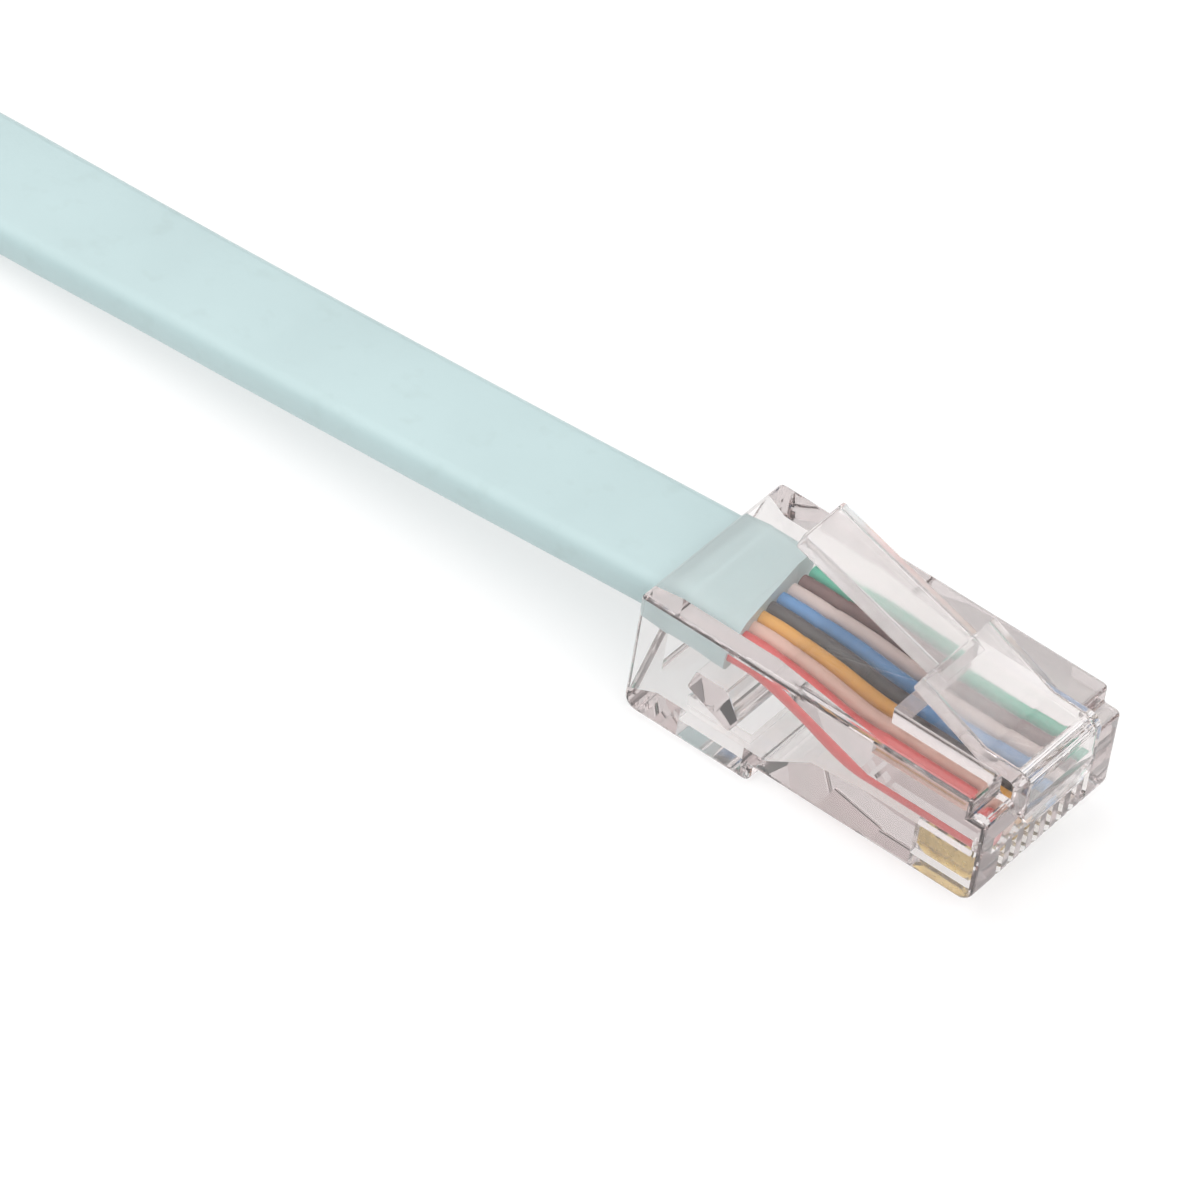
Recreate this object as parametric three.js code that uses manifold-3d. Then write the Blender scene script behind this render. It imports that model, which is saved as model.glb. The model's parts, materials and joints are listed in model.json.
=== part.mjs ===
// Flat console cable with a clear modular plug crimped on each end. Millimetres, +Z up.
// Each plug is drawn with its rear face at x = 0, its nose towards +X and its underside at z = 0.

import * as THREE from "three";
import { mergeVertices } from "three/addons/utils/BufferGeometryUtils.js";
import Module from "manifold-3d";

// Clear plug body
const PLUG_LENGTH = 21.5;
const PLUG_WIDTH = 11.68;
const PLUG_HEIGHT = 7.6;
const FLANGE_LENGTH = 7.9;
const FLANGE_DROP = 1.1; // the rear flange hangs this far below the front section
const CORNER_ROUND = 0.8;
const LIP_DROP = 1.15; // the nose lip lies this far below the roof
const LIP_LENGTH = 1.0;
const ROOF_WALL = 0.8;
const FLANGE_FLOOR = 1.3;
const NOSE_WALL = 0.9;
const FUNNEL_DEPTH = 1.5;
const FUNNEL_SPREAD = 0.5;
const RAMP_START = 8.3; // the cavity floor climbs from here to the wire bay
const RAMP_LENGTH = 2.6; // its steep part
const RAMP_STEP = 0.35; // left for its gentle part
const WIRE_BAY_LENGTH = 6.5;
const ROOF_SLOPE_START = 7.5; // the cavity roof falls from here to the wire bay

// Strain relief bar, pressed up against the jacket from a pocket in the flange
const RELIEF_START = 2.7;
const RELIEF_LENGTH = 4.0;
const RELIEF_WIDTH = 6.4;
const RELIEF_THICKNESS = 1.6;

// Latch, a strip that springs back over the roof from the top of the nose
const LATCH_WIDTH = 6.1;
const LEVER_WIDTH = 3.4;
const LATCH_THICKNESS = 1.1;
const LATCH_SEAT = 2.1; // the floor under the latch root lies this far below the roof
const KNUCKLE_RADIUS = 0.62;
const KNUCKLE_GAP = 0.13;
const KNUCKLE_INSET = 0.15; // the hinge line lies this far behind the nose face
const HOOK_HEIGHT = 2.05; // the latch's front face rises this far above the hinge line
const HOOK_ROUND = 0.8;
const ROOT_RUN = 2.85;
const ROOT_SLOPE = 34;
const PLATE_RUN = 4.7;
const PLATE_SLOPE = 24.4;
const LEVER_RUN = 9.2;
const LEVER_SLOPE = 17.4;
const LATCH_SIDE_GAP = 0.2;
const BAY_MARGIN = 0.9; // the bay starts this far behind the latch shoulders
const PAD_DEPTH = 0.55; // the pad under the latch root stands this far proud of the nose
const PAD_HEIGHT = 1.2;

// Wires and contacts
const WIRE_COUNT = 8;
const WIRE_DIAMETER = 0.86;
const WIRE_PITCH_IN_JACKET = 0.9;
const CONTACT_PITCH = 1.02;
const WIRE_PLAY = 0.12; // room above and below the wires in their bay
const WIRE_BAY_FLOOR = 3.35;
const CONTACT_THICKNESS = 0.35;
const CONTACT_LENGTH = 3.4;
const CONTACT_RECESS = 0.4; // the blades lie this far inside the underside
const CONTACT_FRONT_INSET = 0.7;
const CONTACT_SLOT_PLAY = 0.06;
const PRONG_HEIGHT = 0.5;
const PRONG_COUNT = 3;

// Flat cable
const CABLE_WIDTH = 7.6;
const CABLE_THICKNESS = 2.2;
const CABLE_CORNER = 0.85;
const CABLE_PLAY = 0.2; // between the jacket and the cavity roof
const CABLE_SIDE_PLAY = 0.4;
const JACKET_INSERT = 4.2; // the jacket ends this far inside the plug
const CABLE_STEPS = 30;

// Hank of spare cable, wound on edge
const HANK_TURNS = 6;
const HANK_RADIUS = 31;
const TURN_PITCH = 2.6;
const HANK_RUN = 66;
const HANK_START = 75; // the run into the first turn begins this far behind the plug
const HANK_RISE = 0.9;
const MEETING_GAP = 0.3; // between the cable's solids where they meet face to face
const TIE_WIDTH = 5;
const TIE_THICKNESS = 0.8;
const TIE_GAP = 0.1;
const TIE_PLACE = 48; // along the run, from where the first turn begins

// Where the far plug lies, on its side inside the hank
const FAR_PLUG_BACK = 105; // its rear face, behind the near plug's rear face
const FAR_PLUG_ACROSS = -30;

const CLEAR = new THREE.MeshStandardMaterial({
  color: 0xe8edec,
  roughness: 0.08,
  transparent: true,
  opacity: 0.35,
});
const JACKET = new THREE.MeshStandardMaterial({ color: 0xc9dde1, roughness: 0.45 });
const GOLD = new THREE.MeshStandardMaterial({ color: 0xc9a552, roughness: 0.25, metalness: 1 });
const TIE = new THREE.MeshStandardMaterial({ color: 0x1c1c1e, roughness: 0.6 });
const WIRE_COLOURS = [0xd66058, 0xdcb8ae, 0xd9a441, 0x4a4846, 0x4f8fbd, 0xbdb8b4, 0x7a5a58, 0x3fae86];

const wasm = await Module();
wasm.setup();

// Solids

function toSolid(geometry) {
  geometry.deleteAttribute("normal");
  geometry.deleteAttribute("uv");
  const merged = mergeVertices(geometry, 1e-4);
  const mesh = new wasm.Mesh({
    numProp: 3,
    vertProperties: merged.attributes.position.array,
    triVerts: new Uint32Array(merged.index.array),
  });
  return new wasm.Manifold(mesh);
}

function toGeometry(solid) {
  const mesh = solid.getMesh();
  const geometry = new THREE.BufferGeometry();
  geometry.setAttribute("position", new THREE.BufferAttribute(mesh.vertProperties, 3));
  geometry.setIndex(new THREE.BufferAttribute(mesh.triVerts, 1));
  const faceted = geometry.toNonIndexed();
  faceted.computeVertexNormals();
  return faceted;
}

function outline(points) {
  return new THREE.Shape(points.map(([x, z]) => new THREE.Vector2(x, z)));
}

// An outline in x and z, made into a solid of the given width across Y.
function slab(shape, width, y = 0) {
  const geometry = new THREE.ExtrudeGeometry(shape, {
    depth: width,
    bevelEnabled: false,
    curveSegments: 4,
  });
  geometry.rotateX(Math.PI / 2).translate(0, y + width / 2, 0);
  return toSolid(geometry);
}

function block([x0, x1], [y0, y1], [z0, z1]) {
  const geometry = new THREE.BoxGeometry(x1 - x0, y1 - y0, z1 - z0);
  geometry.translate((x0 + x1) / 2, (y0 + y1) / 2, (z0 + z1) / 2);
  return toSolid(geometry);
}

// Places inside a plug that several pieces share

const cavityRoof = PLUG_HEIGHT - ROOF_WALL;
const cavityWidth = CABLE_WIDTH + 2 * CABLE_SIDE_PLAY;
const cableHeight = cavityRoof - CABLE_PLAY - CABLE_THICKNESS / 2;
const wireHeight = WIRE_BAY_FLOOR + WIRE_PLAY + WIRE_DIAMETER / 2;
const wireBayRoof = wireHeight + WIRE_DIAMETER / 2 + WIRE_PLAY;
const wireBayEnd = PLUG_LENGTH - NOSE_WALL;
const wireBayStart = wireBayEnd - WIRE_BAY_LENGTH;
const seatHeight = PLUG_HEIGHT - LATCH_SEAT;
const pivot = new THREE.Vector2(
  PLUG_LENGTH - KNUCKLE_INSET,
  seatHeight + KNUCKLE_GAP + KNUCKLE_RADIUS,
);

// The latch's centre line from the pivot to the free end.
function latchLine() {
  const runs = [
    [ROOT_RUN, ROOT_SLOPE],
    [PLATE_RUN, PLATE_SLOPE],
    [LEVER_RUN, LEVER_SLOPE],
  ];
  const points = [pivot.clone()];
  for (const [run, slope] of runs) {
    const angle = THREE.MathUtils.degToRad(180 - slope);
    const last = points[points.length - 1];
    points.push(new THREE.Vector2(run * Math.cos(angle), run * Math.sin(angle)).add(last));
  }
  return points;
}

// A strip of even thickness along a line of points in x and z.
function strip(points, thickness) {
  const sides = [1, -1].map((side) =>
    points.map((point, i) => {
      const before = points[Math.max(i - 1, 0)];
      const after = points[Math.min(i + 1, points.length - 1)];
      const along = after.clone().sub(before).normalize();
      const normal = new THREE.Vector2(-along.y, along.x);
      return point.clone().addScaledVector(normal, (side * thickness) / 2);
    }),
  );
  return new THREE.Shape([...sides[1], ...sides[0].reverse()]);
}

function bodyOutline() {
  const front = PLUG_LENGTH;
  const round = CORNER_ROUND;
  const lip = PLUG_HEIGHT - LIP_DROP;
  const shape = new THREE.Shape();
  shape.moveTo(0, round);
  shape.absarc(round, round, round, Math.PI, 1.5 * Math.PI);
  shape.lineTo(FLANGE_LENGTH, 0);
  shape.lineTo(FLANGE_LENGTH, FLANGE_DROP);
  shape.lineTo(front - round, FLANGE_DROP);
  shape.absarc(front - round, FLANGE_DROP + round, round, 1.5 * Math.PI, 2 * Math.PI);
  shape.lineTo(front, lip);
  shape.lineTo(front - LIP_LENGTH, lip);
  shape.lineTo(front - LIP_LENGTH, PLUG_HEIGHT);
  shape.lineTo(0, PLUG_HEIGHT);
  return shape;
}

// The hollow for the jacket, which narrows to the flat bay of the wires.
function cavity() {
  const main = slab(
    outline([
      [-1, FLANGE_FLOOR],
      [RAMP_START, FLANGE_FLOOR],
      [RAMP_START + RAMP_LENGTH, WIRE_BAY_FLOOR - RAMP_STEP],
      [wireBayStart, WIRE_BAY_FLOOR],
      [wireBayEnd, WIRE_BAY_FLOOR],
      [wireBayEnd, wireBayRoof],
      [wireBayStart, wireBayRoof],
      [ROOF_SLOPE_START, cavityRoof],
      [-1, cavityRoof],
    ]),
    cavityWidth,
  );
  return main.add(funnel());
}

// The bevelled mouth: a pyramid frustum whose wide end stands just behind the rear face.
function funnel() {
  const height = cavityRoof - FLANGE_FLOOR;
  const middle = (cavityRoof + FLANGE_FLOOR) / 2;
  const frustum = new THREE.BoxGeometry(2 * FUNNEL_DEPTH, cavityWidth, height);
  const position = frustum.attributes.position;
  for (let i = 0; i < position.count; i++) {
    if (position.getX(i) > 0) continue;
    position.setY(i, position.getY(i) + 2 * FUNNEL_SPREAD * Math.sign(position.getY(i)));
    position.setZ(i, position.getZ(i) + 2 * FUNNEL_SPREAD * Math.sign(position.getZ(i)));
  }
  return toSolid(frustum.translate(0, 0, middle));
}

function reliefPocket() {
  const x = [RELIEF_START, RELIEF_START + RELIEF_LENGTH];
  return block(x, [-RELIEF_WIDTH / 2, RELIEF_WIDTH / 2], [-1, FLANGE_FLOOR + 1]);
}

function reliefBar() {
  const top = cableHeight - CABLE_THICKNESS / 2 - CABLE_PLAY;
  const start = RELIEF_START + 0.4;
  const end = RELIEF_START + RELIEF_LENGTH - 0.3;
  const shape = outline([
    [start, top - RELIEF_THICKNESS * 0.8],
    [end - 0.2, top - RELIEF_THICKNESS * 1.6],
    [end, top - RELIEF_THICKNESS],
    [end - 1, top],
    [start + 0.4, top],
  ]);
  return slab(shape, cavityWidth + 0.2);
}

const wirePlaces = Array.from({ length: WIRE_COUNT }, (_, i) => i - (WIRE_COUNT - 1) / 2);

function contactSlot(place) {
  const x = [wireBayEnd - CONTACT_LENGTH - 0.2 + NOSE_WALL - CONTACT_FRONT_INSET, PLUG_LENGTH + 1];
  const half = CONTACT_THICKNESS / 2 + CONTACT_SLOT_PLAY;
  const y = place * CONTACT_PITCH;
  return block(x, [y - half, y + half], [-1, WIRE_BAY_FLOOR + 0.1]);
}

function latchBay() {
  const shoulder = latchLine()[2].x;
  const half = LATCH_WIDTH / 2 + LATCH_SIDE_GAP;
  return block(
    [shoulder - BAY_MARGIN, PLUG_LENGTH + 1],
    [-half, half],
    [seatHeight, PLUG_HEIGHT + 1],
  );
}

function latchPad() {
  const x = [PLUG_LENGTH - 0.2, PLUG_LENGTH + PAD_DEPTH];
  return block(x, [-LATCH_WIDTH / 2, LATCH_WIDTH / 2], [seatHeight - PAD_HEIGHT, seatHeight]);
}

function housing() {
  let solid = slab(bodyOutline(), PLUG_WIDTH);
  solid = solid.subtract(cavity()).subtract(reliefPocket()).subtract(latchBay());
  for (const place of wirePlaces) solid = solid.subtract(contactSlot(place));
  return toGeometry(solid.add(reliefBar()).add(latchPad()));
}

// The latch's upright front, which turns over a round corner into the plate.
function hook(bend) {
  const front = pivot.x + KNUCKLE_RADIUS;
  const top = pivot.y + HOOK_HEIGHT;
  const shape = outline([
    [pivot.x - KNUCKLE_RADIUS, pivot.y],
    [front, pivot.y],
  ]);
  shape.absarc(front - HOOK_ROUND, top - HOOK_ROUND, HOOK_ROUND, 0, Math.PI / 2);
  shape.lineTo(bend.x, bend.y + LATCH_THICKNESS / 2);
  return slab(shape, LATCH_WIDTH);
}

function latch() {
  const [root, bend, shoulder, end] = latchLine();
  const plate = slab(strip([root, bend, shoulder], LATCH_THICKNESS), LATCH_WIDTH);
  const lever = slab(strip([bend, shoulder, end], LATCH_THICKNESS), LEVER_WIDTH);
  const ring = new THREE.Shape();
  ring.absarc(pivot.x, pivot.y, KNUCKLE_RADIUS, 0, 2 * Math.PI);
  return toGeometry(plate.add(lever).add(hook(bend)).add(slab(ring, LATCH_WIDTH)));
}

// A flat blade with prongs on its upper edge, which bite into the wire above it.
function contact(place) {
  const front = PLUG_LENGTH - CONTACT_FRONT_INSET;
  const back = front - CONTACT_LENGTH;
  const low = FLANGE_DROP + CONTACT_RECESS;
  const tip = WIRE_BAY_FLOOR + WIRE_PLAY / 2;
  const valley = tip - PRONG_HEIGHT;
  const points = [
    [back, low + 0.4],
    [back + 0.6, low],
    [front - 0.4, low],
    [front, low + 0.4],
  ];
  const step = CONTACT_LENGTH / PRONG_COUNT;
  for (let i = 0; i < PRONG_COUNT; i++) {
    const right = front - i * step;
    points.push([right, valley], [right - step * 0.35, tip], [right - step * 0.65, tip]);
  }
  points.push([back, valley]);
  return toGeometry(slab(outline(points), CONTACT_THICKNESS, place * CONTACT_PITCH));
}

function wire(place) {
  const start = JACKET_INSERT + MEETING_GAP;
  const inJacket = place * WIRE_PITCH_IN_JACKET;
  const inBay = place * CONTACT_PITCH;
  const middle = (start + wireBayStart) / 2;
  const path = new THREE.CatmullRomCurve3([
    new THREE.Vector3(start, inJacket, cableHeight),
    new THREE.Vector3(start + 2, inJacket, cableHeight),
    new THREE.Vector3(middle, (inJacket + inBay) / 2, (cableHeight * 2 + wireHeight) / 3),
    new THREE.Vector3(wireBayStart - 1.5, inBay, wireHeight + WIRE_PLAY),
    new THREE.Vector3(wireBayStart + 1, inBay, wireHeight),
    new THREE.Vector3(wireBayEnd - WIRE_PLAY, inBay, wireHeight),
  ]);
  const section = new THREE.Shape();
  section.absarc(0, 0, WIRE_DIAMETER / 2, 0, 2 * Math.PI);
  return new THREE.ExtrudeGeometry(section, {
    steps: 12,
    curveSegments: 8,
    bevelEnabled: false,
    extrudePath: path,
  });
}

// Cable

function cableSection() {
  const x = CABLE_WIDTH / 2 - CABLE_CORNER;
  const y = CABLE_THICKNESS / 2 - CABLE_CORNER;
  const quarter = Math.PI / 2;
  const shape = new THREE.Shape();
  shape.absarc(x, y, CABLE_CORNER, 0, quarter);
  shape.absarc(-x, y, CABLE_CORNER, quarter, 2 * quarter);
  shape.absarc(-x, -y, CABLE_CORNER, 2 * quarter, 3 * quarter);
  shape.absarc(x, -y, CABLE_CORNER, 3 * quarter, 4 * quarter);
  return shape;
}

// Sweeps the flat section along stations of x, y, z and a roll about the way ahead in degrees.
function flatCable(stations) {
  const path = new THREE.CatmullRomCurve3(stations.map(([x, y, z]) => new THREE.Vector3(x, y, z)));
  const rollAt = (t) => {
    const place = t * (stations.length - 1);
    const i = Math.min(Math.floor(place), stations.length - 2);
    return THREE.MathUtils.lerp(stations[i][3], stations[i + 1][3], place - i);
  };
  const geometry = new THREE.ExtrudeGeometry(cableSection(), {
    depth: 1,
    steps: CABLE_STEPS,
    curveSegments: 2,
    bevelEnabled: false,
  });
  const position = geometry.attributes.position;
  const up = new THREE.Vector3(0, 0, 1);
  for (let i = 0; i < position.count; i++) {
    const t = position.getZ(i);
    const ahead = path.getTangent(t);
    const side = up.clone().cross(ahead).normalize();
    side.applyAxisAngle(ahead, THREE.MathUtils.degToRad(rollAt(t)));
    const thick = ahead.clone().cross(side);
    const point = path.getPoint(t);
    point.addScaledVector(side, position.getX(i)).addScaledVector(thick, position.getY(i));
    position.setXYZ(i, point.x, point.y, point.z);
  }
  return geometry;
}

const half = CABLE_THICKNESS / 2;
const onEdge = HANK_RISE + CABLE_WIDTH / 2;
const farHankX = -HANK_START - HANK_RUN;

// The straight cable behind the near plug sinks towards the floor and turns onto its edge.
const stretchRoute = [
  [JACKET_INSERT, 0, cableHeight, 0],
  [0, 0, cableHeight, 0],
  [-16, 0, 4.1, 0],
  [-32, 0, 2.83, 0],
  [-48, 0, 1.85, 0],
  [-55, 0, 2.75, 30],
  [-62, 0, 4.2, 65],
  [-69, 0, onEdge, 90],
  [-HANK_START + MEETING_GAP, 0, onEdge, 90],
];

const tailStart = -HANK_TURNS * TURN_PITCH;
const tailRoute = [
  [-HANK_START - MEETING_GAP, tailStart, onEdge, 90],
  [-81, tailStart - 1.2, onEdge, 90],
  [-89, (tailStart + FAR_PLUG_ACROSS) / 2, 5.2, 90],
  [-97, FAR_PLUG_ACROSS + 1.2, PLUG_WIDTH / 2, 90],
  [-FAR_PLUG_BACK, FAR_PLUG_ACROSS, PLUG_WIDTH / 2, 90],
  [-FAR_PLUG_BACK - JACKET_INSERT, FAR_PLUG_ACROSS, PLUG_WIDTH / 2, 90],
];

// One closed loop of straight runs and round ends, with a step where the cable comes in or leaves.
function hankLoop(shape, top, farRadius, nearRadius) {
  const farMiddle = top - farRadius;
  const bottom = top - 2 * farRadius;
  const nearMiddle = bottom + nearRadius;
  shape.moveTo(-HANK_START, top);
  shape.lineTo(farHankX, top);
  shape.absarc(farHankX, farMiddle, farRadius, Math.PI / 2, 1.5 * Math.PI);
  shape.lineTo(-HANK_START, bottom);
  shape.absarc(-HANK_START, nearMiddle, nearRadius, -Math.PI / 2, Math.PI / 2);
  return shape;
}

const hankTop = half;
const hankInnerTop = -(HANK_TURNS - 1) * TURN_PITCH - half;
const outerFar = HANK_RADIUS - TURN_PITCH / 4 + half;
const innerFar = HANK_RADIUS - (HANK_TURNS - 0.75) * TURN_PITCH - half;
const hankBottom = hankTop - 2 * outerFar;
const hankInnerBottom = hankInnerTop - 2 * innerFar;

function hank() {
  const shape = hankLoop(new THREE.Shape(), hankTop, outerFar, outerFar - TURN_PITCH / 2);
  const hole = hankLoop(new THREE.Path(), hankInnerTop, innerFar, innerFar - TURN_PITCH / 2);
  shape.holes.push(hole);
  const geometry = new THREE.ExtrudeGeometry(shape, {
    depth: CABLE_WIDTH,
    bevelEnabled: false,
    curveSegments: 20,
  });
  return geometry.translate(0, 0, HANK_RISE);
}

// A strap round the turns of one run, from the lower y to the upper y.
function tie(low, high) {
  const middle = -HANK_START - TIE_PLACE;
  const span = [middle - TIE_WIDTH / 2, middle + TIE_WIDTH / 2];
  const cut = [span[0] - 1, span[1] + 1];
  const inner = HANK_RISE - TIE_GAP;
  const top = HANK_RISE + CABLE_WIDTH + TIE_GAP;
  const reach = TIE_GAP + TIE_THICKNESS;
  const outside = block(span, [low - reach, high + reach], [inner - TIE_THICKNESS, top + TIE_THICKNESS]);
  return toGeometry(outside.subtract(block(cut, [low - TIE_GAP, high + TIE_GAP], [inner, top])));
}

// Assembly

function named(name, geometry, material) {
  const mesh = new THREE.Mesh(geometry, material.clone());
  mesh.name = name;
  return mesh;
}

// The wires' colours are given from the near side to the far side of that plug.
function plug(prefix, wireColours) {
  const group = new THREE.Group();
  group.add(named(`${prefix}_housing`, housing(), CLEAR));
  group.add(named(`${prefix}_latch`, latch(), CLEAR));
  wirePlaces.forEach((place, i) => {
    const insulation = new THREE.MeshStandardMaterial({ color: wireColours[i], roughness: 0.5 });
    group.add(named(`${prefix}_contact_${i + 1}`, contact(place), GOLD));
    group.add(named(`${prefix}_wire_${i + 1}`, wire(place), insulation));
  });
  return group;
}

const cable = new THREE.Group();
cable.add(plug("near", WIRE_COLOURS));

// Both latches are on the same side of the cable, so the far plug has its wires the other way round.
const farPlug = plug("far", WIRE_COLOURS.toReversed());
farPlug.rotation.set(Math.PI / 2, Math.PI, 0);
farPlug.position.set(-FAR_PLUG_BACK, FAR_PLUG_ACROSS - cableHeight, PLUG_WIDTH / 2);
cable.add(farPlug);

cable.add(named("cable_stretch", flatCable(stretchRoute), JACKET));
cable.add(named("cable_hank", hank(), JACKET));
cable.add(named("cable_tail", flatCable(tailRoute), JACKET));
cable.add(named("tie_outer", tie(hankInnerTop, hankTop), TIE));
cable.add(named("tie_inner", tie(hankBottom, hankInnerBottom), TIE));

// The origin is on the floor under the middle of the near plug.
cable.position.x = -(PLUG_LENGTH + PAD_DEPTH) / 2;
const part = new THREE.Group();
part.add(cable);

export default part;
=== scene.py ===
# %% [markdown]
# # A flat console cable with a clear modular plug
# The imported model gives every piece's place and size. This script dresses those pieces: it models
# the clear moulding, the wires and contacts inside it, the flat cable and its ties, and gives each
# one a finish made of nodes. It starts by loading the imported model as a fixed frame.

# %% Load the frame
import json
import math

import bmesh
import bpy
from mathutils import Matrix, Vector

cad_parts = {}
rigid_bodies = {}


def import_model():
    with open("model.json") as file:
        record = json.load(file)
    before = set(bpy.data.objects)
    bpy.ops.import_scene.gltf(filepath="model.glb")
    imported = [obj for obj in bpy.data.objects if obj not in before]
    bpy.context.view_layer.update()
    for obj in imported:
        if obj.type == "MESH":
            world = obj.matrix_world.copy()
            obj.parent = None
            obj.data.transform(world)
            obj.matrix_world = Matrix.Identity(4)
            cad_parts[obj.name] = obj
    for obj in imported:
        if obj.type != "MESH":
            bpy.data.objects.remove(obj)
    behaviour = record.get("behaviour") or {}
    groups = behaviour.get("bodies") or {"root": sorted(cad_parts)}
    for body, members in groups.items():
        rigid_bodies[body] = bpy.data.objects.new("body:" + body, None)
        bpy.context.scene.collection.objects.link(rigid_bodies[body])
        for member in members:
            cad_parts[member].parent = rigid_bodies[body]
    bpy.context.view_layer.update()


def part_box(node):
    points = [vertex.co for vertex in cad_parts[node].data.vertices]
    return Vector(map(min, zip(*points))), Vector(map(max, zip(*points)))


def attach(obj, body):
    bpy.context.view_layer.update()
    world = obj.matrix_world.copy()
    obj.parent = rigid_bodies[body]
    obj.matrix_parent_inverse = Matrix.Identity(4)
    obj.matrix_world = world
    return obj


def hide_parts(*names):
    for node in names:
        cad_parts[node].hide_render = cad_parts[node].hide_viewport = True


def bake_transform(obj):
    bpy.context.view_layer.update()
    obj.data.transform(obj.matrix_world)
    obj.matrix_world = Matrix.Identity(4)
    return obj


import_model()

# %% [markdown]
# ## One drawing, two plugs
# The two plugs are the same, so each piece is modelled once in the plug's own millimetres: the rear
# face at x = 0, the nose towards +X, the underside at z = 0. A matrix then puts it in place. The
# near plug stands level, and the far plug lies on its side in the hank and points the other way.

# %% Where the plugs lie
MM = 0.001
PLUG_WIDTH = 11.68
CABLE_HEIGHT = 5.5
JACKET_INSERT = 4.2
FAR_PLUG_BACK = 105
FAR_PLUG_ACROSS = -30

rear_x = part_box("near_housing")[0].x
near_place = Matrix.Translation((rear_x, 0, 0)) @ Matrix.Scale(MM, 4)
far_turn = Matrix(((-1, 0, 0), (0, 0, 1), (0, 1, 0))).to_4x4()
far_place = (
    near_place
    @ Matrix.Translation((-FAR_PLUG_BACK, FAR_PLUG_ACROSS - CABLE_HEIGHT, PLUG_WIDTH / 2))
    @ far_turn
)
PLACES = {"near": near_place, "far": far_place}


def link(name, mesh, material):
    """A new object at the origin with that mesh and material."""
    piece = bpy.data.objects.new(name, mesh)
    bpy.context.scene.collection.objects.link(piece)
    mesh.materials.clear()
    mesh.materials.append(material)
    return piece


print("rear face of the near plug at x =", round(rear_x, 5))

# %% [markdown]
# ## Camera
# A camera fitted to the corners of the plug in the photograph has a long lens, about half a metre
# away, with the plug seen from its near side and from above. Its roll is small but visible, so
# both its line of sight and its right-hand direction are given.

# %% Camera
CAMERA_SPOT = Vector((184.9, -315.7, 345.0))
LINE_OF_SIGHT = Vector((-0.3772, 0.6245, -0.6839)).normalized()
CAMERA_RIGHT = Vector((0.7839, 0.6085, 0.1232))
LENS = 300
SENSOR = 36

right = (CAMERA_RIGHT - CAMERA_RIGHT.dot(LINE_OF_SIGHT) * LINE_OF_SIGHT).normalized()
above = right.cross(LINE_OF_SIGHT)
camera_data = bpy.data.cameras.new("camera")
camera_data.lens = LENS
camera_data.sensor_width = SENSOR
camera_data.clip_start = 0.01
camera = bpy.data.objects.new("camera", camera_data)
bpy.context.scene.collection.objects.link(camera)
turn = Matrix((right, above, -LINE_OF_SIGHT)).transposed().to_4x4()
camera.matrix_world = Matrix.Translation(near_place @ CAMERA_SPOT) @ turn
bpy.context.scene.camera = camera
print("camera", round(camera.location.length, 3), "m from the origin")

# %% [markdown]
# ## The cable's route
# The cable leaves the plug level, sinks to the floor and turns onto its edge, as flat cable does
# when it is wound up. It then makes six turns of a long hank, and its inner end runs to the far
# plug inside the hank. Away from the hank the points are listed one by one, with a roll in degrees.
# The turns come from a loop: two straight runs and two round ends each, one pitch further in.

# %% Route of the cable
CABLE_WIDTH = 7.6
CABLE_THICKNESS = 2.2
HANK_TURNS = 6
HANK_RADIUS = 31
TURN_PITCH = 2.6
HANK_RUN = 66
HANK_START = 75
ON_EDGE = 0.9 + CABLE_WIDTH / 2
STRETCH = [
    (JACKET_INSERT, 0, CABLE_HEIGHT, 0),
    (0, 0, CABLE_HEIGHT, 0),
    (-16, 0, 4.1, 0),
    (-32, 0, 2.83, 0),
    (-48, 0, 1.85, 0),
    (-55, 0, 2.75, 30),
    (-62, 0, 4.2, 65),
    (-69, 0, ON_EDGE, 90),
    (-HANK_START, 0, ON_EDGE, 90),
]
tail_start = -HANK_TURNS * TURN_PITCH
TAIL = [
    (-HANK_START, tail_start, ON_EDGE, 90),
    (-81, tail_start - 1.2, ON_EDGE, 90),
    (-89, (tail_start + FAR_PLUG_ACROSS) / 2, 5.2, 90),
    (-97, FAR_PLUG_ACROSS + 1.2, PLUG_WIDTH / 2, 90),
    (-FAR_PLUG_BACK, FAR_PLUG_ACROSS, PLUG_WIDTH / 2, 90),
    (-FAR_PLUG_BACK - JACKET_INSERT, FAR_PLUG_ACROSS, PLUG_WIDTH / 2, 90),
]


def smooth(stations, pieces):
    """Points and rolls on one smooth curve through the stations, a few to each gap."""
    made = []
    ends = [stations[0], *stations, stations[-1]]
    for before, start, end, after in zip(ends, ends[1:], ends[2:], ends[3:]):
        for i in range(pieces):
            t = i / pieces
            values = []
            for p, a, b, n in zip(before, start, end, after):
                slope_in, slope_out = (b - p) / 2, (n - a) / 2
                values.append(
                    (2 * t**3 - 3 * t**2 + 1) * a
                    + (t**3 - 2 * t**2 + t) * slope_in
                    + (3 * t**2 - 2 * t**3) * b
                    + (t**3 - t**2) * slope_out
                )
            made.append(values)
    return made


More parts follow.
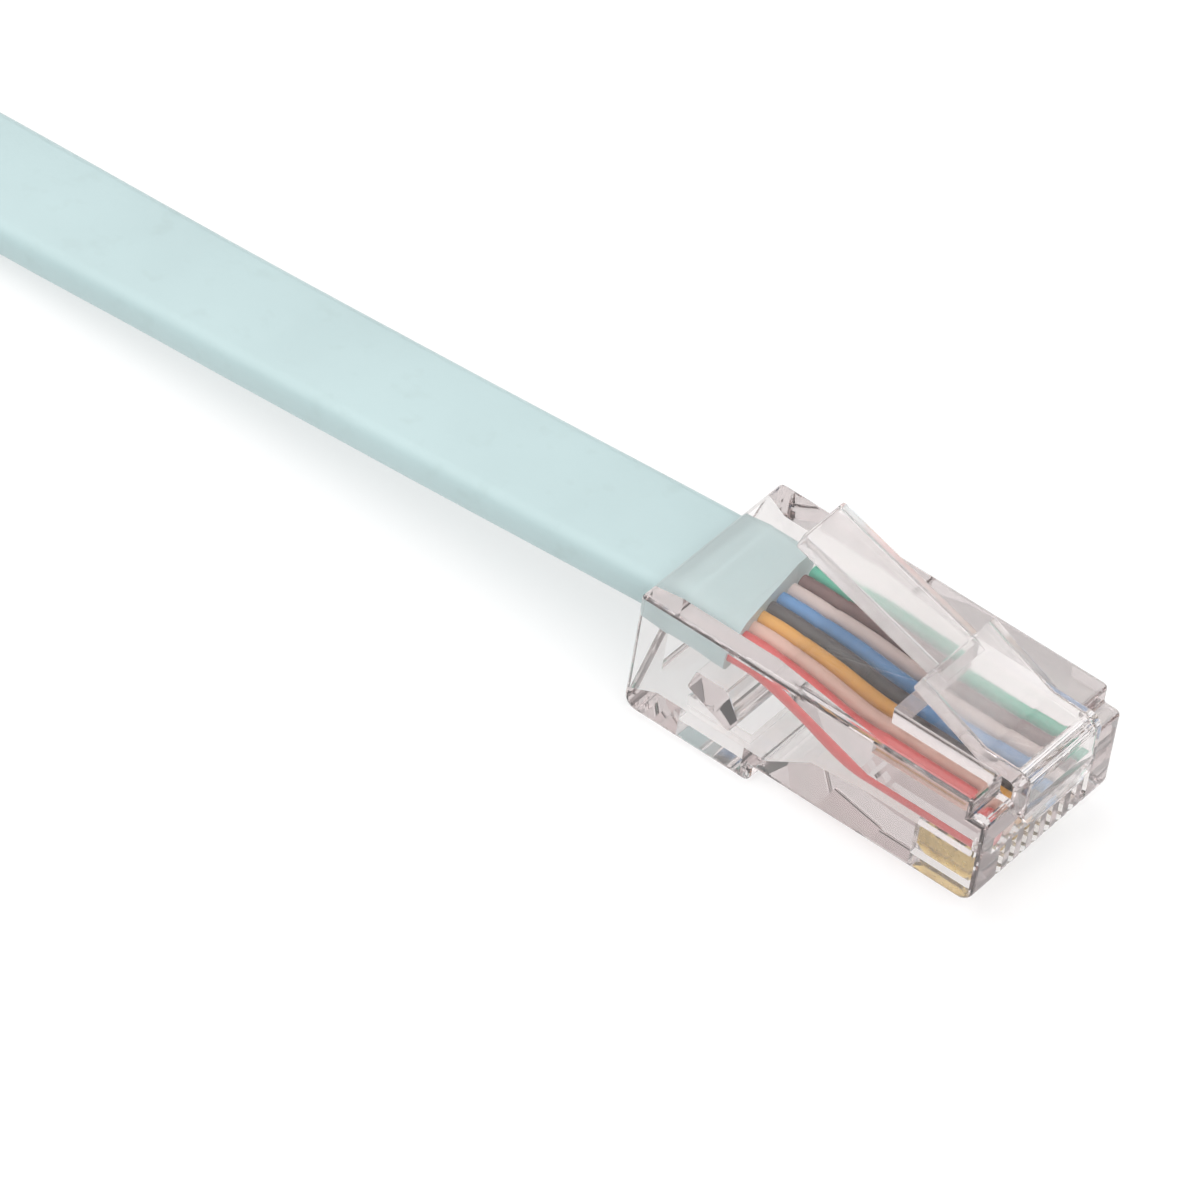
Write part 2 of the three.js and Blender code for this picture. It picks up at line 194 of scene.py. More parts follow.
def hank_turns():
    """The turns of the hank, from the outer one inwards."""
    made = []
    far_x, run_steps, arc_steps = -HANK_START - HANK_RUN, 12, 26
    for turn_number in range(HANK_TURNS):
        top = -turn_number * TURN_PITCH
        for radius, x, heading in (
            (HANK_RADIUS - (turn_number + 0.25) * TURN_PITCH, far_x, -1),
            (HANK_RADIUS - (turn_number + 0.75) * TURN_PITCH, -HANK_START, 1),
        ):
            for i in range(run_steps):
                made.append((x - heading * HANK_RUN * (1 - i / run_steps), top, ON_EDGE, 90))
            middle = top + heading * radius
            for i in range(arc_steps):
                angle = math.pi * i / arc_steps
                across = middle - heading * radius * math.cos(angle)
                made.append((x + heading * radius * math.sin(angle), across, ON_EDGE, 90))
            top = top + 2 * heading * radius
    return made


route = smooth(STRETCH, 6) + hank_turns() + smooth(TAIL, 6) + [TAIL[-1]]

# %% [markdown]
# ## Materials
# Every finish is a Principled shader with procedural detail: a small noise that varies the colour,
# another that varies the roughness, and a fine bump. The patterns read Object coordinates, which
# are metres here, so their scales are in cycles per metre.

# %% Helper for finishes


class Finish:
    """A material with its Principled shader and short ways to add nodes."""

    def __init__(self, name, colour, roughness):
        self.material = bpy.data.materials.new(name)
        self.material.use_nodes = True
        self.nodes = self.material.node_tree.nodes
        self.links = self.material.node_tree.links
        self.shader = self.nodes["Principled BSDF"]
        self.shader.inputs["Base Color"].default_value = (*colour, 1)
        self.shader.inputs["Roughness"].default_value = roughness
        self.coordinates = self.nodes.new("ShaderNodeTexCoord").outputs["Object"]

    def set(self, **values):
        for name, value in values.items():
            self.shader.inputs[name.replace("_", " ")].default_value = value

    def join(self, output, name):
        self.links.new(output, self.shader.inputs[name])

    def noise(self, scale, detail=4, stretch=(1, 1, 1)):
        """The grey value of a noise, drawn out along an axis by stretch."""
        mapping = self.nodes.new("ShaderNodeMapping")
        mapping.inputs["Scale"].default_value = stretch
        self.links.new(self.coordinates, mapping.inputs["Vector"])
        noise = self.nodes.new("ShaderNodeTexNoise")
        noise.inputs["Scale"].default_value = scale
        noise.inputs["Detail"].default_value = detail
        self.links.new(mapping.outputs["Vector"], noise.inputs["Vector"])
        return noise.outputs["Fac"]

    def ramp(self, value, *stops):
        """Colours at places from 0 to 1 along a grey value."""
        ramp = self.nodes.new("ShaderNodeValToRGB")
        elements = ramp.color_ramp.elements
        while len(elements) < len(stops):
            elements.new(0.5)
        for element, (place, colour) in zip(elements, stops):
            element.position = place
            element.color = (*colour, 1)
        self.links.new(value, ramp.inputs["Fac"])
        return ramp.outputs["Color"]

    def times(self, colour, mask):
        """One colour multiplied by another."""
        mix = self.nodes.new("ShaderNodeMix")
        mix.data_type = "RGBA"
        mix.blend_type = "MULTIPLY"
        mix.inputs["Factor"].default_value = 1
        self.links.new(colour, mix.inputs["A"])
        self.links.new(mask, mix.inputs["B"])
        return mix.outputs["Result"]

    def spread(self, value, source, target):
        """A grey value carried from one range to another."""
        spread = self.nodes.new("ShaderNodeMapRange")
        for name, number in zip(("From Min", "From Max", "To Min", "To Max"), (*source, *target)):
            spread.inputs[name].default_value = number
        self.links.new(value, spread.inputs["Value"])
        return spread.outputs["Result"]

    def between(self, value, low, high):
        """The middle of a noise, spread from low to high."""
        return self.spread(value, (0.3, 0.7), (low, high))

    def bump(self, value, height):
        """Relief of that height in metres."""
        bump = self.nodes.new("ShaderNodeBump")
        bump.inputs["Strength"].default_value = 1
        bump.inputs["Distance"].default_value = height
        self.links.new(value, bump.inputs["Height"])
        self.join(bump.outputs["Normal"], "Normal")


def shade(colour, amount):
    return tuple(min(1, c * amount) for c in colour)


print("finish helper ready")

# %% [markdown]
# ## Jacket finish
# The jacket is a soft pale aqua plastic. It is smooth with a satin gloss, its colour drifts a
# little along the cable, and handling has left a few faint scuffs.

# %% Jacket finish
JACKET_COLOUR = (0.468, 0.60, 0.608)
jacket_finish = Finish("jacket", JACKET_COLOUR, 0.38)
drift = jacket_finish.ramp(
    jacket_finish.noise(90, 3),
    (0.35, shade(JACKET_COLOUR, 0.97)),
    (0.65, shade(JACKET_COLOUR, 1.03)),
)
scuffs = jacket_finish.ramp(
    jacket_finish.noise(700, 2),
    (0.6, (1, 1, 1)),
    (0.75, (0.96, 0.96, 0.955)),
)
jacket_finish.join(jacket_finish.times(drift, scuffs), "Base Color")
jacket_finish.join(jacket_finish.between(jacket_finish.noise(400), 0.34, 0.42), "Roughness")
jacket_finish.bump(jacket_finish.noise(2500, 2), 0.00001)
jacket_finish.set(Subsurface_Weight=0.15, Subsurface_Radius=(0.001, 0.001, 0.001))
print("jacket", JACKET_COLOUR)

# %% [markdown]
# ## The flat cable
# A flat cable is one section swept along a line. A curve object would twist by its own rules, and
# here the roll matters, so one rounded outline is made with bmesh and extruded ring by ring, each
# ring put in place by a matrix built from the way ahead and the roll.

# %% Sweep the section
CABLE_CORNER = 0.85
UP = Vector((0, 0, 1))


def rounded_outline(bm, width, height, radius, segments):
    """A closed ring of edges in x and y: a rectangle with its corners bevelled round."""
    square = bmesh.ops.create_grid(bm, x_segments=1, y_segments=1, size=0.5)
    bmesh.ops.scale(bm, vec=(width, height, 1), verts=square["verts"])
    bmesh.ops.bevel(
        bm,
        geom=list(bm.verts),
        offset=radius,
        segments=segments,
        profile=0.5,
        affect="VERTICES",
        material=-1,
    )


def ring_matrix(stations, i):
    """The frame of ring i: across the cable, through it, and along it."""
    before = Vector(stations[max(i - 1, 0)][:3])
    after = Vector(stations[min(i + 1, len(stations) - 1)][:3])
    ahead = (after - before).normalized()
    roll = Matrix.Rotation(math.radians(stations[i][3]), 3, ahead)
    across = roll @ UP.cross(ahead).normalized()
    turn = Matrix((across, ahead.cross(across), ahead)).transposed().to_4x4()
    return Matrix.Translation(stations[i][:3]) @ turn


def sweep(stations, width, height, radius, segments):
    """A closed solid: the rounded outline carried along the stations."""
    bm = bmesh.new()
    rounded_outline(bm, width, height, radius, segments)
    face = bm.faces[:][0]
    place = ring_matrix(stations, 0)
    bmesh.ops.transform(bm, matrix=place, verts=bm.verts)
    for i in range(1, len(stations)):
        made = bmesh.ops.extrude_face_region(bm, geom=[face])["geom"]
        face = [g for g in made if isinstance(g, bmesh.types.BMFace)][0]
        next_place = ring_matrix(stations, i)
        verts = [g for g in made if isinstance(g, bmesh.types.BMVert)]
        bmesh.ops.transform(bm, matrix=next_place @ place.inverted(), verts=verts)
        place = next_place
    bmesh.ops.recalc_face_normals(bm, faces=bm.faces)
    return bm


def to_mesh(bm, name, place, smooth_angle=None):
    """The bmesh as a mesh at its place, with its edges sharp past an angle, or all flat."""
    bmesh.ops.transform(bm, matrix=place, verts=bm.verts)
    mesh = bpy.data.meshes.new(name)
    bm.to_mesh(mesh)
    bm.free()
    if smooth_angle:
        mesh.shade_smooth()
        mesh.set_sharp_from_angle(angle=math.radians(smooth_angle))
    return mesh


cable_bm = sweep(route, CABLE_WIDTH, CABLE_THICKNESS, CABLE_CORNER, 5)
CUT_SLANT = 0.135
slant = Matrix.Identity(4)
slant[0][1] = -CUT_SLANT
cut_end = [v for v in cable_bm.verts if v.co.x > STRETCH[0][0] - 0.1]
bmesh.ops.transform(cable_bm, matrix=slant, verts=cut_end)
cable = link("flat_cable", to_mesh(cable_bm, "flat_cable", near_place, 40), jacket_finish.material)
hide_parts("cable_stretch", "cable_hank", "cable_tail")
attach(cable, "cable")
print("flat cable:", len(cable.data.vertices), "points in its mesh")

# %% [markdown]
# ## Clear plastic
# The moulding is clear polycarbonate. Full transmission with its index of refraction of 1.58 bends
# what lies inside. A few hundredths are left to diffuse light, the slight milkiness of moulded
# plastic. The thin latch above the roof is milkier and less smooth, so a ramp on the height above
# the roof, which is Z for the near plug and Y for the far one, drives both. Thick plastic is a
# little mauve where the eye looks along it, so the volume absorbs some light too.

# %% Clear finish
PLUG_HEIGHT = 7.6
PLASTIC_COLOUR = (0.998, 0.994, 0.99)
PLASTIC_INDEX = 1.58
DEPTH_COLOUR = (0.25, 0.09, 0.08, 1)
DEPTH_DENSITY = 46


def clear_finish(end, axis, roof):
    """The plug's plastic, milkier and rougher above the roof along that axis."""
    finish = Finish(f"{end}_clear_plastic", PLASTIC_COLOUR, 0.02)
    finish.set(IOR=PLASTIC_INDEX)
    parts = finish.nodes.new("ShaderNodeSeparateXYZ")
    finish.links.new(finish.coordinates, parts.inputs["Vector"])
    latch = finish.spread(parts.outputs[axis], (roof + 0.0002, roof + 0.0012), (0, 1))
    milky = finish.nodes.new("ShaderNodeMath")
    milky.operation = "MULTIPLY"
    finish.links.new(latch, milky.inputs[0])
    finish.links.new(finish.between(finish.noise(350, 3), 0.75, 1.0), milky.inputs[1])
    finish.join(finish.spread(milky.outputs["Value"], (0, 1), (0.975, 0.8)), "Transmission Weight")
    finish.join(finish.spread(latch, (0, 1), (0, 0.1)), "Roughness")
    depth = finish.nodes.new("ShaderNodeVolumeAbsorption")
    depth.inputs["Color"].default_value = DEPTH_COLOUR
    depth.inputs["Density"].default_value = DEPTH_DENSITY
    finish.links.new(depth.outputs["Volume"], finish.nodes["Material Output"].inputs["Volume"])
    return finish.material


near_roof = PLUG_HEIGHT * MM
far_roof = (FAR_PLUG_ACROSS - CABLE_HEIGHT + PLUG_HEIGHT) * MM
clear_materials = {
    "near": clear_finish("near", "Z", near_roof),
    "far": clear_finish("far", "Y", far_roof),
}
print("clear plastic, milkier above", round(near_roof, 4), "and", round(far_roof, 4))

# %% [markdown]
# ## The moulding
# The body starts as its side outline, a single face that is extruded across the plug. The hollow
# for the jacket, the wire bay, the contact slots and the latch bay are cut from it with booleans,
# because their walls meet at odd slopes. Every outer edge gets a small round, which catches the
# light as the real moulding's edges do.

# %% Slabs and booleans
PLUG_LENGTH = 21.5


def slab(points, width, y=0, edge_round=0.0, segments=3):
    """An outline in x and z, extruded across y, with its edges rounded."""
    bm = bmesh.new()
    verts = [bm.verts.new((x, y - width / 2, z)) for x, z in points]
    face = bm.faces.new(verts)
    made = bmesh.ops.extrude_face_region(bm, geom=[face])["geom"]
    moved = [g for g in made if isinstance(g, bmesh.types.BMVert)]
    bmesh.ops.translate(bm, vec=(0, width, 0), verts=moved)
    bmesh.ops.recalc_face_normals(bm, faces=bm.faces)
    if edge_round:
        sharp = [e for e in bm.edges if e.calc_face_angle(0) > math.radians(50)]
        bmesh.ops.bevel(
            bm,
            geom=sharp,
            offset=edge_round,
            segments=segments,
            profile=0.5,
            affect="EDGES",
            clamp_overlap=True,
            material=-1,
        )
    return bm


def arc(x, z, radius, start, end, steps=8):
    """Points on a round corner in x and z, between two angles in degrees."""
    angles = [math.radians(start + (end - start) * i / steps) for i in range(steps + 1)]
    return [(x + radius * math.cos(a), z + radius * math.sin(a)) for a in angles]


def merged(parts):
    """Several bmeshes that don't touch, as one."""
    whole = bmesh.new()
    for part in parts:
        mesh = bpy.data.meshes.new("part")
        part.to_mesh(mesh)
        part.free()
        whole.from_mesh(mesh)
        bpy.data.meshes.remove(mesh)
    return whole


def carve(bm, tool, operation):
    """The bmesh after one exact boolean with the tool, both used up."""
    pair = []
    for source in (bm, tool):
        mesh = bpy.data.meshes.new("carving")
        source.to_mesh(mesh)
        source.free()
        pair.append(bpy.data.objects.new("carving", mesh))
        bpy.context.scene.collection.objects.link(pair[-1])
    modifier = pair[0].modifiers.new("carve", "BOOLEAN")
    modifier.object = pair[1]
    modifier.operation = operation
    modifier.solver = "EXACT"
    bpy.context.view_layer.update()
    shaped = pair[0].evaluated_get(bpy.context.evaluated_depsgraph_get())
    result = bmesh.new()
    result.from_mesh(shaped.to_mesh())
    shaped.to_mesh_clear()
    for item in pair:
        mesh = item.data
        bpy.data.objects.remove(item)
        bpy.data.meshes.remove(mesh)
    return result


print("carving tools ready")

# %% [markdown]
# ## The body of the moulding
# The side outline has the low rear flange, rounded lower corners and a lip at the nose. The hollow
# tapers from the jacket's height to the flat bay where the wires lie over the contacts. A window
# is cut into the flange's underside, a bay for the latch into the roof at the nose, and the bar
# that grips the jacket is joined on inside. The same mesh then serves both plugs.

# %% Body
FLANGE_LENGTH = 7.9
FLANGE_DROP = 1.1
CORNER = 0.8
LIP_TOP = 6.45
LIP_LENGTH = 1.0
CAVITY_ROOF = 6.8
CAVITY_WIDTH = 8.4
FLANGE_FLOOR = 1.3
BAY_FLOOR = 3.35
BAY_ROOF = 4.45
BAY_START = 14.1
BAY_END = 20.6
SEAT = 5.5
CONTACT_PITCH = 1.02
PLACES_ACROSS = [i - 3.5 for i in range(8)]
SLOT_WIDTH = 0.47
SLOT_TOP = 3.6
WINDOW = ((2.7, 6.7), (-3.2, 3.2), (-1, 2.3))
LATCH_BAY = ((13.85, 23), (-3.25, 3.25), (SEAT, 9))


def box_solid(x, y, z):
    """A block between two places on each axis."""
    corners = [(x[0], z[0]), (x[1], z[0]), (x[1], z[1]), (x[0], z[1])]
    return slab(corners, y[1] - y[0], sum(y) / 2)


def body_solid():
    """The block, with its flange and the lip at the nose."""
    front = PLUG_LENGTH
    outline = (
        arc(CORNER, CORNER, CORNER, 180, 270)
        + [(FLANGE_LENGTH, 0), (FLANGE_LENGTH, FLANGE_DROP)]
        + arc(front - CORNER, FLANGE_DROP + CORNER, CORNER, 270, 360)
        + [(front, LIP_TOP), (front - LIP_LENGTH, LIP_TOP)]
        + [(front - LIP_LENGTH, PLUG_HEIGHT), (0, PLUG_HEIGHT)]
    )
    return slab(outline, PLUG_WIDTH, edge_round=0.3, segments=4)


def cavity_solid():
    """The hollow: the jacket's room, the ramp and the wire bay."""
    outline = [
        (-1, FLANGE_FLOOR),
        (8.3, FLANGE_FLOOR),
        (10.9, 3.0),
        (BAY_START, BAY_FLOOR),
        (BAY_END, BAY_FLOOR),
        (BAY_END, BAY_ROOF),
        (BAY_START, BAY_ROOF),
        (7.5, CAVITY_ROOF),
        (-1, CAVITY_ROOF),
    ]
    return slab(outline, CAVITY_WIDTH)


def funnel_solid():
    """The bevelled mouth, wider at the rear face than inside."""
    bm = box_solid((-1.5, 1.5), (-CAVITY_WIDTH / 2, CAVITY_WIDTH / 2), (FLANGE_FLOOR, CAVITY_ROOF))
    outer = [v for v in bm.verts if v.co.x < 0]
    middle = Vector((0, 0, (FLANGE_FLOOR + CAVITY_ROOF) / 2))
    bmesh.ops.scale(bm, vec=(1, 1.24, 1.36), verts=outer, space=Matrix.Translation(-middle))
    return bm


def slots_solid():
    """The eight contact slots, open underneath and at the nose."""
    cuts = []
    for p in PLACES_ACROSS:
        middle = p * CONTACT_PITCH
        sides = (middle - SLOT_WIDTH / 2, middle + SLOT_WIDTH / 2)
        cuts.append(box_solid((17.2, 22.5), sides, (-1, SLOT_TOP)))
    return merged(cuts)


def relief_bar():
    """The bar that presses on the jacket from below."""
    top = 4.2
    outline = [(3.1, 2.9), (5.9, 1.65), (6.4, 2.6), (5.4, top), (3.5, top)]
    return slab(outline, CAVITY_WIDTH + 0.2, edge_round=0.15, segments=2)


body = body_solid()
window, latch_bay = box_solid(*WINDOW), box_solid(*LATCH_BAY)
for tool in (cavity_solid(), funnel_solid(), window, latch_bay, slots_solid()):
    body = carve(body, tool, "DIFFERENCE")
body = carve(body, relief_bar(), "UNION")
print("body:", len(body.faces), "faces")

for end, place in PLACES.items():
    mesh = to_mesh(body.copy(), f"{end}_plug_body", place)
    piece = link(f"{end}_plug_body", mesh, clear_materials[end])
    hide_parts(f"{end}_housing")
    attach(piece, "cable")
    print(end, "plug body placed")
body.free()

# %% [markdown]
# ## The latch
# The latch is one strip. It stands up in front of the nose, turns over a round corner into a wide
# plate, and narrows to the lever that a finger presses. The strip's side outline is extruded to
# the plate's width and to the lever's, the two are joined, and the foot's corners are rounded.

# %% Latch
BEND = (18.99, 7.84)
SHOULDER = (14.71, 9.78)
LEVER_END = (5.93, 12.53)
LATCH_WIDTH = 6.1
LEVER_WIDTH = 3.4
LATCH_THICKNESS = 1.1
LATCH_FRONT = 22.03
LATCH_TOP = 8.3
FOOT = 4.4
FOOT_ROUND = 1.6
FRONT_ROUND = 0.8


def beside(start, end, side):
    """The point beside the end of a line in x and z, half a thickness off."""
    along = Vector((end[0] - start[0], end[1] - start[1])).normalized()
    reach = side * LATCH_THICKNESS / 2
    return (end[0] + along.y * reach, end[1] - along.x * reach)


def plate_solid():
    """The upright front, the round corner and the wide plate."""
    outline = (
        [(PLUG_LENGTH + 0.02, FOOT), (LATCH_FRONT, FOOT)]
        + arc(LATCH_FRONT - FRONT_ROUND, LATCH_TOP - FRONT_ROUND, FRONT_ROUND, 0, 90)
        + [beside(SHOULDER, BEND, -1), beside(BEND, SHOULDER, 1)]
        + [beside(BEND, SHOULDER, -1), beside(SHOULDER, BEND, 1)]
        + arc(20.75, 6.9, 0.3, 90, 0, 4)
        + [(21.05, 5.9), (PLUG_LENGTH + 0.02, 5.45)]
    )
    return slab(outline, LATCH_WIDTH, edge_round=0.12, segments=3)


def lever_solid():
    """The narrow lever, starting inside the plate."""
    overlap = (BEND[0] * 0.2 + SHOULDER[0] * 0.8, BEND[1] * 0.2 + SHOULDER[1] * 0.8)
    outline = [
        beside(LEVER_END, overlap, -1),
        beside(LEVER_END, overlap, 1),
        beside(SHOULDER, LEVER_END, -1),
        beside(SHOULDER, LEVER_END, 1),
    ]
    return slab(outline, LEVER_WIDTH, edge_round=0.12, segments=3)


def foot_mask():
    """What lies above the foot's rounded corners, seen from the front."""
    half = LATCH_WIDTH / 2
    outline = (
        arc(FOOT_ROUND - half, FOOT + FOOT_ROUND, FOOT_ROUND, 180, 270)
        + arc(half - FOOT_ROUND, FOOT + FOOT_ROUND, FOOT_ROUND, 270, 360)
        + [(half, 20), (-half, 20)]
    )
    bm = slab(outline, 60)
    bmesh.ops.rotate(bm, matrix=Matrix.Rotation(math.radians(90), 3, "Z"), verts=bm.verts)
    return bm


latch = carve(plate_solid(), lever_solid(), "UNION")
latch = carve(latch, foot_mask(), "INTERSECT")
for end, place in PLACES.items():
    mesh = to_mesh(latch.copy(), f"{end}_plug_latch", place)
    piece = link(f"{end}_plug_latch", mesh, clear_materials[end])
    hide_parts(f"{end}_latch")
    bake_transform(piece)
    print(end, "latch:", len(mesh.polygons), "faces")
latch.free()

# %% [markdown]
# ## Wire finishes
# The wires' insulation is soft plastic in eight colours. Each has a slow change of shade, a satin
# gloss with small smears, and faint lines drawn along the wire from the extruder.

# %% Wire finishes
WIRE_COLOURS = [
    (0.58, 0.05, 0.045),
    (0.66, 0.42, 0.34),
    (0.66, 0.31, 0.02),
    (0.028, 0.027, 0.026),
    (0.05, 0.22, 0.48),
    (0.58, 0.48, 0.45),
    (0.10, 0.035, 0.03),
    (0.025, 0.38, 0.25),
]
WIRE_SLOTS = ["red", "blush", "ochre", "black", "blue", "grey", "brown", "green"]


def wire_finish(name, colour):
    """Insulation with streaks along the wire."""
    finish = Finish("wire_" + name, colour, 0.35)
    tone = finish.ramp(
        finish.noise(350, 3, stretch=(0.3, 1, 1)),
        (0.3, shade(colour, 0.85)),
        (0.7, shade(colour, 1.12)),
    )
    finish.join(tone, "Base Color")
    finish.join(finish.between(finish.noise(1500, 3), 0.28, 0.45), "Roughness")
    finish.bump(finish.noise(3000, 2, stretch=(0.05, 1, 1)), 0.00001)
    return finish.material


wire_materials = [wire_finish(n, c) for n, c in zip(WIRE_SLOTS, WIRE_COLOURS)]
print("wire finishes:", ", ".join(WIRE_SLOTS))

# %% [markdown]
# ## Wires
# Beyond the end of the jacket the wires fan out a little, drop from under the roof and run straight
# over the contacts. Each is a round outline swept along its own smooth line.

# %% Wires
WIRE_DIAMETER = 0.86
JACKET_PITCH = 0.9
WIRE_HEIGHT = 3.9


def wire_stations(p):
    """The smooth line of the wire at that place across the plug."""
    in_jacket, in_bay = p * JACKET_PITCH, p * CONTACT_PITCH
    points = [
        (4.3, in_jacket, 5.5, 0),
        (6.5, in_jacket, 5.5, 0),
        (9.3, (in_jacket + in_bay) / 2, 4.97, 0),
        (12.6, in_bay, 4.02, 0),
        (15.1, in_bay, WIRE_HEIGHT, 0),
        (20.4, in_bay, WIRE_HEIGHT, 0),
    ]
    return smooth(points, 8) + [points[-1]]


for end, place in PLACES.items():
    materials = wire_materials if end == "near" else wire_materials[::-1]
    for i, p in enumerate(PLACES_ACROSS):
        bm = sweep(wire_stations(p), WIRE_DIAMETER, WIRE_DIAMETER, WIRE_DIAMETER / 2 - 0.01, 5)
        name = f"{end}_insulated_wire_{i + 1}"
        piece = link(name, to_mesh(bm, name, place, 50), materials[i])
        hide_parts(f"{end}_wire_{i + 1}")
        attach(piece, "cable")
print("wires placed in both plugs")

# %% [markdown]
# ## Contacts
# Each contact is a thin gold-plated blade, pressed up so that its prongs bite into the wire. Its
# outline is a face that is extruded to the blade's thickness, with its edges eased.

# %% Contacts
gold_finish = Finish("contact_gold", (0.50, 0.36, 0.13), 0.22)
gold_finish.set(Metallic=1.0)
tarnish = gold_finish.ramp(
    gold_finish.noise(1200, 3),
    (0.3, (0.40, 0.28, 0.10)),
    (0.7, (0.60, 0.45, 0.18)),
)
gold_finish.join(tarnish, "Base Color")
gold_finish.join(gold_finish.between(gold_finish.noise(3000, 3), 0.15, 0.32), "Roughness")
gold_finish.bump(gold_finish.noise(6000, 2, stretch=(0.1, 1, 1)), 0.000003)


BLADE_BACK = 17.4
BLADE_FRONT = 20.8
BLADE_THICKNESS = 0.35
PRONG_PITCH = 1.133
PRONG_ROOT = 2.95
PRONG_TIP = 3.42


def blade_solid(p):
    """A blade with three prongs, at that place across the plug."""
    outline = [(BLADE_BACK, 1.9), (18.0, 1.5), (20.4, 1.5), (BLADE_FRONT, 1.9)]
    for i in range(3):
        x = BLADE_FRONT - i * PRONG_PITCH
        outline += [(x, PRONG_ROOT), (x - 0.4, PRONG_TIP), (x - 0.73, PRONG_TIP)]
    outline += [(BLADE_BACK, PRONG_ROOT)]
    return slab(outline, BLADE_THICKNESS, p * CONTACT_PITCH, edge_round=0.04, segments=1)


for end, place in PLACES.items():
    for i, p in enumerate(PLACES_ACROSS):
        name = f"{end}_blade_{i + 1}"
        piece = link(name, to_mesh(blade_solid(p), name, place), gold_finish.material)
        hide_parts(f"{end}_contact_{i + 1}")
        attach(piece, "cable")
print("contacts placed in both plugs")

# %% [markdown]
# ## Ties
# Two black straps hold the hank. Each is a flat band bent round the turns of one run.

# %% Ties
tie_finish = Finish("tie_band", (0.014, 0.014, 0.015), 0.55)
tie_finish.join(tie_finish.between(tie_finish.noise(900, 4), 0.45, 0.65), "Roughness")
tie_finish.bump(tie_finish.noise(3500, 3, stretch=(1, 0.2, 1)), 0.00004)
STRAP_CORNER = 1.6
STRAP_THICKNESS = 0.8


def band(node):
    """A strap with rounded bends, filling the node's box."""
    low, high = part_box(node)
    middle = (low + high) / 2
    bm = bmesh.new()
    rounded_outline(bm, high.y - low.y, high.z - low.z, STRAP_CORNER * MM, 6)
    middle_face = bm.faces[:]
    thickness = STRAP_THICKNESS * MM
    bmesh.ops.inset_region(bm, faces=middle_face, thickness=thickness, use_boundary=True)
    bmesh.ops.delete(bm, geom=middle_face, context="FACES")
    made = bmesh.ops.extrude_face_region(bm, geom=bm.faces[:])["geom"]
    moved = [g for g in made if isinstance(g, bmesh.types.BMVert)]
    bmesh.ops.translate(bm, vec=(0, 0, high.x - low.x), verts=moved)
    bmesh.ops.translate(bm, vec=(0, 0, (low.x - high.x) / 2), verts=bm.verts)
    turn = Matrix(((0, 0, 1), (1, 0, 0), (0, 1, 0))).to_4x4()
    bmesh.ops.transform(bm, matrix=Matrix.Translation(middle) @ turn, verts=bm.verts)
    bmesh.ops.recalc_face_normals(bm, faces=bm.faces)
    return bm


for node in ("tie_outer", "tie_inner"):
    mesh = to_mesh(band(node), node, Matrix.Identity(4), 35)
    strap = link(node + "_strap", mesh, tie_finish.material)
    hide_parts(node)
    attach(strap, "cable")

# %% [markdown]

# %% [markdown]
# ## Floor and light
# The photograph is lit like a product on a light table: the ground is white, and the light is soft
# and even. The floor therefore glows a little by itself. The room's light comes from the world,
# because lamps can't reach through clear plastic as well: it is white overhead, dim near the
# horizon so that upright faces are darker, and a warm grey at the back, which the plug's side
# faces mirror. One soft lamp overhead adds to it.

# %% Floor
FLOOR_GREY = 0.36
FLOOR_GLOW = 0.6
floor_finish = Finish("floor", (FLOOR_GREY, FLOOR_GREY, FLOOR_GREY), 0.9)
floor_finish.set(Emission_Color=(1, 1, 1, 1), Emission_Strength=FLOOR_GLOW)
floor_finish.bump(floor_finish.noise(300, 2), 0.00002)
floor_bm = bmesh.new()
bmesh.ops.create_grid(floor_bm, x_segments=1, y_segments=1, size=2.5)
bmesh.ops.translate(floor_bm, vec=(0, 0, -0.0001), verts=floor_bm.verts)
floor = link("floor", to_mesh(floor_bm, "floor", Matrix.Identity(4)), floor_finish.material)
print("floor laid")

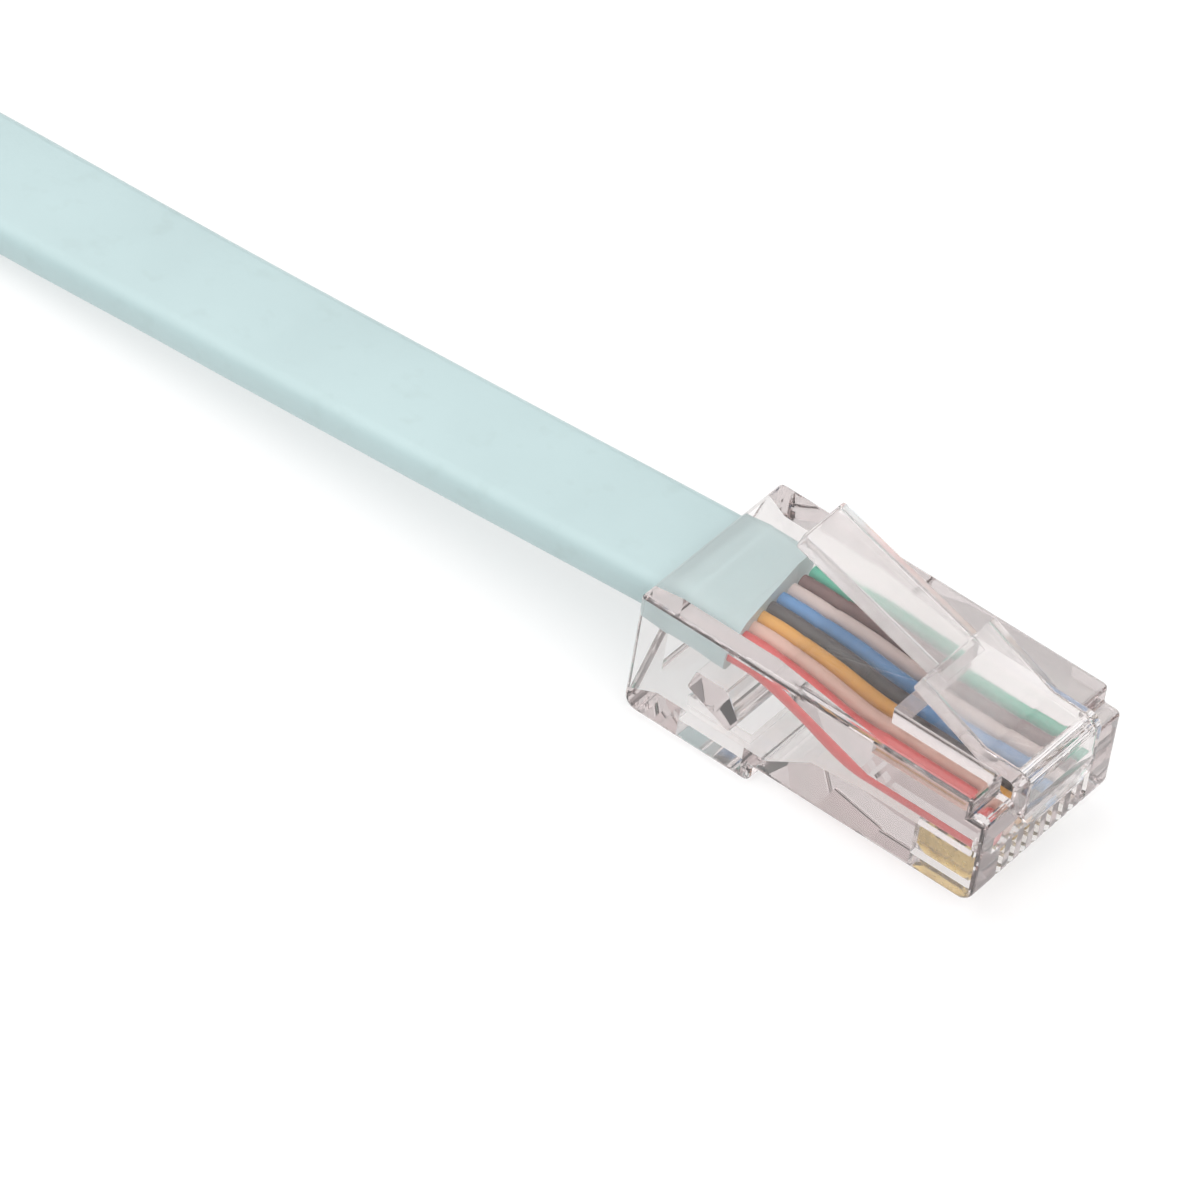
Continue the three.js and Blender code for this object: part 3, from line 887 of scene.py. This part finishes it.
# %% Room light
AWAY_FROM_CAMERA = (-0.517, 0.856, 0)
ROOM = [
    (0.1, (1.0, 1.0, 1.0)),
    (0.5, (0.98, 0.98, 0.98)),
    (0.72, (0.50, 0.455, 0.45)),
    (1.0, (0.42, 0.38, 0.38)),
]
SKY_RISE = (0.15, 0.85, 0.12, 2.1)
world = bpy.data.worlds.new("studio")
world.use_nodes = True
sky, links = world.node_tree.nodes, world.node_tree.links
direction = sky.new("ShaderNodeTexCoord").outputs["Generated"]
facing = sky.new("ShaderNodeVectorMath")
facing.operation = "DOT_PRODUCT"
facing.inputs[1].default_value = AWAY_FROM_CAMERA
links.new(direction, facing.inputs[0])
halved = sky.new("ShaderNodeMapRange")
halved.inputs["From Min"].default_value = -1
links.new(facing.outputs["Value"], halved.inputs["Value"])
tint = sky.new("ShaderNodeValToRGB")
while len(tint.color_ramp.elements) < len(ROOM):
    tint.color_ramp.elements.new(0.5)
for element, (spot, colour) in zip(tint.color_ramp.elements, ROOM):
    element.position = spot
    element.color = (*colour, 1)
links.new(halved.outputs["Result"], tint.inputs["Fac"])
links.new(tint.outputs["Color"], sky["Background"].inputs["Color"])
apart = sky.new("ShaderNodeSeparateXYZ")
links.new(direction, apart.inputs["Vector"])
overhead = sky.new("ShaderNodeMapRange")
for name, number in zip(("From Min", "From Max", "To Min", "To Max"), SKY_RISE):
    overhead.inputs[name].default_value = number
links.new(apart.outputs["Z"], overhead.inputs["Value"])
links.new(overhead.outputs["Result"], sky["Background"].inputs["Strength"])
bpy.context.scene.world = world
bpy.context.scene.view_settings.view_transform = "Standard"
print("room light set")

# %% Lamp
LAMP_SPOT = Vector((-0.12, 0.12, 0.52))
LAMP_SIZE = 0.2
LAMP_POWER = 0.25
lamp_data = bpy.data.lights.new("softbox", "AREA")
lamp_data.size = LAMP_SIZE
lamp_data.energy = LAMP_POWER
lamp = bpy.data.objects.new("softbox", lamp_data)
bpy.context.scene.collection.objects.link(lamp)
lamp.rotation_mode = "QUATERNION"
lamp.rotation_quaternion = (-LAMP_SPOT).to_track_quat("-Z", "Y")
lamp.location = LAMP_SPOT
print("softbox", round(LAMP_SPOT.length, 2), "m from the plug")

# %% [markdown]
# ## Light paths
# Light is mirrored many times inside clear plastic before it gets out. With the usual four glossy
# bounces those paths end early and show as black lines, so the scene allows more.

# %% Light paths
BOUNCES = 24
light_paths = bpy.context.scene.cycles
light_paths.max_bounces = BOUNCES
light_paths.glossy_bounces = BOUNCES
light_paths.transmission_bounces = BOUNCES
light_paths.blur_glossy = 0
print("bounces:", BOUNCES)
